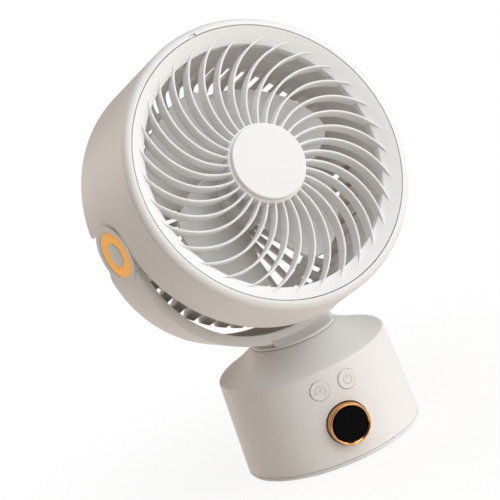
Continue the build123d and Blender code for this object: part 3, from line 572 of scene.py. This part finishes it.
# %% [markdown]
# Under the band the neck spreads into a round disc. A low apron joins the two: straight
# below the front of the band it falls away to the disc's rim. It could be pulled up from
# the disc by hand. But the levelled head passes just above it, so its height is worked out
# from the circle of the head, less a small room.
# %% The neck's apron
HEAD_RADIUS = 80.0
HEAD_ROOM = 0.35
DISC_RIM = 22.8
APRON_REACH = 19.7
APRON_FACE, APRON_EDGE = 14.65, 14.85
APRON_TOP, APRON_ROUND = 2.9, 0.2
APRON_FOOT, APRON_TOE = 67.32, 67.55


def apron_grid():
    """At each x: up the band's front to 149 - sqrt(80^2 - x^2), then down to the rim."""
    x = np.linspace(-APRON_REACH, APRON_REACH, 49)
    hull = PIVOT_HEIGHT - np.sqrt(HEAD_RADIUS**2 - x**2)
    rim = np.sqrt(DISC_RIM**2 - x**2)
    same = np.ones_like(x)
    fronts = [LIP_REAR, LIP_REAR, APRON_FACE, APRON_EDGE]
    depth = np.stack([*((front - PIVOT_SETBACK) * same for front in fronts), rim, rim], axis=-1)
    tops = [hull + APRON_TOP, hull + APRON_TOP - APRON_ROUND, hull - HEAD_ROOM]
    height = np.stack([APRON_FOOT * same, *tops, APRON_TOE * same, APRON_FOOT * same], axis=-1)
    points = x[:, None, None] * ACROSS + depth[..., None] * LEVEL + height[..., None] * UP
    return (points * MM)[None]


apron = skin("neck_apron", apron_grid(), abs_white, loop=False)
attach(apron, "yoke")
print("apron faces:", len(apron.data.polygons))

# %% [markdown]
# Ears, rings and caps are turned about the pivot axis, once looking right and once looking
# left. Mirroring the right side would turn its faces inside out, so the left side is drawn
# with the same profiles and the axis reversed instead.
# %% Both sides of the yoke
ear_profile = box_outline((RING_OUTER + RING_GAP, BAND_CORE), (EAR_RADIUS, EAR_FACE), 0.3)
ring_profile = box_outline((RING_INNER, BAND_CORE), (RING_OUTER, EAR_FACE - RING_SUNK), 0.2)
cap_profile = [
    (CAP_RADIUS, BAND_CORE),
    (CAP_RADIUS, CAP_FACE - 0.2),
    (CAP_RADIUS - 0.15, CAP_FACE - 0.05),
    (CAP_RADIUS - 0.35, CAP_FACE),
]
yoke_pieces = [apron]
for side, name in ((1, "right"), (-1, "left")):
    turned = [PIVOT, side * ACROSS, LEVEL]
    band_rows = band_grid(side, skin_section, NECK_CLEAR)
    band = skin("band_skin_" + name, band_rows, abs_white, loop=False)
    lip_rows = band_grid(side, lip_section, TAB_CLEAR)
    lip = skin("band_lip_" + name, lip_rows, abs_white, loop=False)
    ear = skin("ear_face_" + name, lathe(ear_profile, *turned), abs_white, loop=True)
    ring = skin("accent_trim_" + name, lathe(ring_profile, *turned), trim_orange, loop=True)
    cap_rows = lathe(cap_profile, *turned).swapaxes(1, 2)
    cap = skin("pivot_disc_" + name, cap_rows, abs_white, loop=False)
    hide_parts("accent_ring_" + name)
    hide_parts("pivot_cap_" + name)
    for piece in (band, lip, ear, ring, cap):
        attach(piece, "yoke")
    yoke_pieces += [band, lip, ear, ring, cap]
print("yoke pieces:", len(yoke_pieces))

# %% [markdown]
# The knob is a plated ring with a hollow bevel in front, which catches the lamp at the
# bottom and stays dark at the top. A bevelled cylinder would have the bevel on its outside;
# a turned profile can lean it inwards, towards the window. Heights are counted forwards
# from the axis of the base.
# %% Knob ring
KNOB_AXIS = np.array([0.0, 0.0, 22.5])
KNOB_BORE, BORE_REAR, BORE_FRONT = 9.45, 46.0, 51.1
KNOB_ROOT, ROOT_REAR = 11.65, 44.75
KNOB_EDGE, KNOB_FRONT = 11.15, 52.25

knob_outline = [
    (KNOB_BORE, BORE_REAR),
    (KNOB_ROOT, ROOT_REAR),
    (KNOB_EDGE, KNOB_FRONT - 0.35),
    (KNOB_EDGE - 0.25, KNOB_FRONT),
    (KNOB_EDGE - 0.7, KNOB_FRONT),
    (KNOB_BORE, BORE_FRONT),
]
forwards, sideways = np.array([0, -1, 0]), np.array([1, 0, 0])
knob_grid = lathe(rounded(knob_outline, 0.25), KNOB_AXIS, forwards, sideways)
knob = skin("knob_bevel_ring", knob_grid, copper, loop=True)
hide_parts("knob_ring")
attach(knob, "knob")
print("knob faces:", len(knob.data.polygons))

# %% [markdown]
# The two buttons carry shallow raised signs, moulded in a greyer plastic. Text or a bevelled
# curve could draw them, and would then have to be made a mesh. Each line is made as a mesh
# at once: a half-round bead swept along a path on the button's face. The buttons look out
# of the round base at a small angle to either side.
# %% Beads and paths
BUTTON_TURN, BUTTON_RISE, BUTTON_FACE = 9.7, 44.35, 47.76
BEAD_WIDE, BEAD_HIGH, BEAD_SUNK = 0.42, 0.16, 0.02


def bead(path, side):
    """Half-round bead: path + normal * w cos(a), lifted off the face by h sin(a)."""
    path = np.array(path, float)
    ahead = np.gradient(path, axis=0)
    ahead /= np.linalg.norm(ahead, axis=1)[:, None]
    normal = np.stack([-ahead[:, 1], ahead[:, 0]], axis=-1)
    arc = np.linspace(0, math.pi, 7)
    flat = path[:, None] + normal[:, None] * (np.cos(arc) * BEAD_WIDE / 2)[None, :, None]
    turn = math.radians(side * BUTTON_TURN)
    across = np.array([math.cos(turn), math.sin(turn), 0.0])
    out = np.array([math.sin(turn), -math.cos(turn), 0.0])
    lift = BUTTON_FACE - BEAD_SUNK + np.sin(arc) * BEAD_HIGH
    points = flat[..., :1] * across + np.broadcast_to(lift, flat.shape[:2])[..., None] * out
    points[..., 2] += flat[..., 1] + BUTTON_RISE
    return (points * MM)[None]


def arc_path(radius, start, end, steps=40):
    """Points on a circle from one angle to the other, in degrees."""
    angle = np.radians(np.linspace(start, end, steps))
    return np.stack([radius * np.cos(angle), radius * np.sin(angle)], axis=-1)


print("a bead is", BEAD_WIDE, "mm wide and", BEAD_HIGH, "mm high")

# %% [markdown]
# The left sign is a sweep arrow for the swing: most of a circle with an arrow head, and a
# small pointer in the middle. The right one is the usual sign for on and off: a circle left
# open at the top, with a stroke in the gap.
# %% Signs on the buttons
def sign(name, side, paths, body):
    """One object for each line of a sign; they all ride on the button's body."""
    for number, path in enumerate(paths):
        line = skin(f"{name}_{number}", bead(path, side), sign_grey, loop=False)
        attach(line, body)
    return len(paths)


# The grey lines are finely moulded: smooth enough to glint where they stand proud
sign_grey = moulded_plastic("abs_sign_grey", "c9c6c2", "d0cdc9", roughness=0.4, grain_mm=0.3)
sweep = arc_path(2.6, -70, 200)
tip = sweep[-1]
arrow_out, arrow_in = [tip + [-1.0, 0.9], tip], [tip, tip + [1.1, 0.5]]
pointer, pointer_hub = [(0.0, -0.2), (0.9, 1.1)], arc_path(0.35, 0, 330, 16)
swing_lines = sign(
    "swing_sign", -1, [sweep, arrow_out, arrow_in, pointer, pointer_hub], "swing_key"
)
open_circle, stroke = arc_path(2.3, 125, 415), [(0.0, 0.4), (0.0, 3.0)]
power_lines = sign("power_sign", 1, [open_circle, stroke], "power_key")
print("sign lines:", swing_lines + power_lines)

# %% [markdown]
# The picture was taken from the left of the knob side, a little above the fan, with the
# camera rolled. One could move a camera about by hand until the view fits. Here it is
# placed by those three angles, its distance from a point on the fan's axis, and a small
# sideways step, so that each can be read and changed alone. The long lens stands for the
# flat perspective of a product picture.
# %% Camera
TARGET = np.array([0.0, 0.0, 120.0]) * MM
AZIMUTH, ELEVATION, ROLL = np.radians([-12.09, 14.10, -21.05])
DISTANCE = 1591.6 * MM
SIDE_STEP = np.array([4.17, 4.88]) * MM
LENS_MM, SENSOR_MM = 216.0, 36.0


def placed(name, data, x_axis, y_axis, z_axis, place):
    """A linked object whose matrix has those three axes and that place as its columns."""
    matrix = np.eye(4)
    matrix[:3] = np.stack([x_axis, y_axis, z_axis, place], axis=-1)
    item = bpy.data.objects.new(name, data)
    item.matrix_world = Matrix(matrix)
    bpy.context.scene.collection.objects.link(item)
    return item


level = np.array([math.cos(AZIMUTH), math.sin(AZIMUTH), 0.0])
away = np.cross(level, UP) * math.cos(ELEVATION) + UP * math.sin(ELEVATION)
upright = np.cross(away, level)
right = level * math.cos(ROLL) + upright * math.sin(ROLL)
up = upright * math.cos(ROLL) - level * math.sin(ROLL)
stand = TARGET + away * DISTANCE - right * SIDE_STEP[0] - up * SIDE_STEP[1]

lens = bpy.data.cameras.new("studio_camera")
lens.lens, lens.sensor_width = LENS_MM, SENSOR_MM
lens.clip_start, lens.clip_end = 0.05, 20.0
bpy.context.scene.camera = placed("studio_camera", lens, right, up, away, stand)
print("camera at", np.round(stand, 3))

# %% [markdown] The fan stands on a plain pale floor.
FLOOR_HALF = 3.0

corners = np.array([[-1, -1, 0], [1, -1, 0], [1, 1, 0], [-1, 1, 0]]) * FLOOR_HALF
floor_mesh = bpy.data.meshes.new("studio_floor")
floor_mesh.from_pydata(corners.tolist(), [], [(0, 1, 2, 3)])
floor = bpy.data.objects.new("studio_floor", floor_mesh)
bpy.context.scene.collection.objects.link(floor)
print("floor side:", 2 * FLOOR_HALF, "m")

# %% [markdown]
# In a studio the paper on the floor is lit until it is white. More light would also burn
# out the fan, so camera and mirror rays meet mostly plain white light there, while the fan
# is lit by the paper's real shade. Near the fan a share of the real shading is kept, which
# is where the soft contact shadow shows. The share fades with the distance, as it does.
# %% Backdrop paper
SHADOW_SHARE = 0.10
SHADOW_NEAR, SHADOW_FAR = 0.05, 0.25


def seen_directly(tree):
    """1 for a camera, mirror or transmission ray, else 0: the largest of the three."""
    rays = add_node(tree, "ShaderNodeLightPath").outputs
    largest = {"operation": "MAXIMUM"}
    first = add_node(
        tree, "ShaderNodeMath", largest, _0=rays["Is Camera Ray"], _1=rays["Is Glossy Ray"]
    )
    both = add_node(
        tree, "ShaderNodeMath", largest, _0=first.outputs[0], _1=rays["Is Transmission Ray"]
    )
    return both.outputs[0]


paper, tree = empty_material("backdrop_paper")
place = add_node(tree, "ShaderNodeTexCoord").outputs["Object"]
reach = add_node(tree, "ShaderNodeVectorMath", {"operation": "LENGTH"}, _0=place)
glow_share = add_node(
    tree,
    "ShaderNodeMapRange",
    {"interpolation_type": "SMOOTHSTEP"},
    Value=reach.outputs["Value"],
    From_Min=SHADOW_NEAR,
    From_Max=SHADOW_FAR,
    To_Min=1 - SHADOW_SHARE,
    To_Max=1.0,
)
share = add_node(
    tree,
    "ShaderNodeMath",
    {"operation": "MULTIPLY"},
    _0=seen_directly(tree),
    _1=glow_share.outputs["Result"],
)
sheet = add_node(tree, "ShaderNodeBsdfDiffuse", Color=linear("fbf3ea"))
glow = add_node(tree, "ShaderNodeEmission", Color=(1, 1, 1, 1), Strength=1.0)
mixed = add_node(
    tree, "ShaderNodeMixShader", _0=share.outputs[0], _1=sheet.outputs[0], _2=glow.outputs[0]
)
add_node(tree, "ShaderNodeOutputMaterial", Surface=mixed.outputs[0])
floor_mesh.materials.append(paper)
print("share of the real shadow:", SHADOW_SHARE)

# %% [markdown]
# The world is a dim warm grey that fills the shadows, as the walls of a room do. Camera
# rays see it as white paper, so the background is white without more light on the fan.
# %% World
FILL_STRENGTH = 0.08
world = bpy.data.worlds.new("studio_world")
bpy.context.scene.world = world
world.use_nodes = True
tree = world.node_tree
tree.nodes.clear()
rays = add_node(tree, "ShaderNodeLightPath").outputs
fill = add_node(tree, "ShaderNodeBackground", Color=linear("ffe6d4"), Strength=FILL_STRENGTH)
paper_white = add_node(tree, "ShaderNodeBackground", Color=(1, 1, 1, 1), Strength=1.0)
mixed = add_node(
    tree,
    "ShaderNodeMixShader",
    _0=rays["Is Camera Ray"],
    _1=fill.outputs[0],
    _2=paper_white.outputs[0],
)
add_node(tree, "ShaderNodeOutputWorld", Surface=mixed.outputs[0])
print("fill light:", FILL_STRENGTH)

# %% [markdown]
# Four soft lamps do the work of a small studio. The key lamp stands to the right of the
# camera, so the front face and the right of the base come out white. A weaker lamp on the
# right and one above lift the edges. The last stands behind on the left and is a little
# warm, which gives the beige shade on the turned-away left side. A large lamp gives soft
# edges to the shadows, and each is aimed at the middle of the fan. The Standard view shows
# a colour as it was written.
# %% Lamps
AIM = UP * 0.13


def soft_lamp(name, place, size, power, shade="ffffff"):
    """A square area lamp of that size in metres and power in watts, facing the fan."""
    lamp = bpy.data.lights.new(name, "AREA")
    lamp.shape, lamp.size, lamp.energy = "SQUARE", size, power
    lamp.color = linear(shade)[:3]
    back = np.array(place) - AIM
    back /= np.linalg.norm(back)
    side = np.cross(UP, back)
    side /= np.linalg.norm(side)
    placed(name, lamp, side, np.cross(back, side), back, place)


soft_lamp("key_lamp", (1.15, -1.75, 1.0), 1.5, 23.0, "fcfeff")
soft_lamp("top_lamp", (0.2, -0.6, 1.5), 1.0, 9.0)
soft_lamp("right_lamp", (1.5, 0.05, 0.7), 1.0, 8.0)
soft_lamp("back_lamp", (-1.0, 1.2, 0.7), 1.0, 10.0, "fff2e6")
bpy.context.scene.view_settings.view_transform = "Standard"
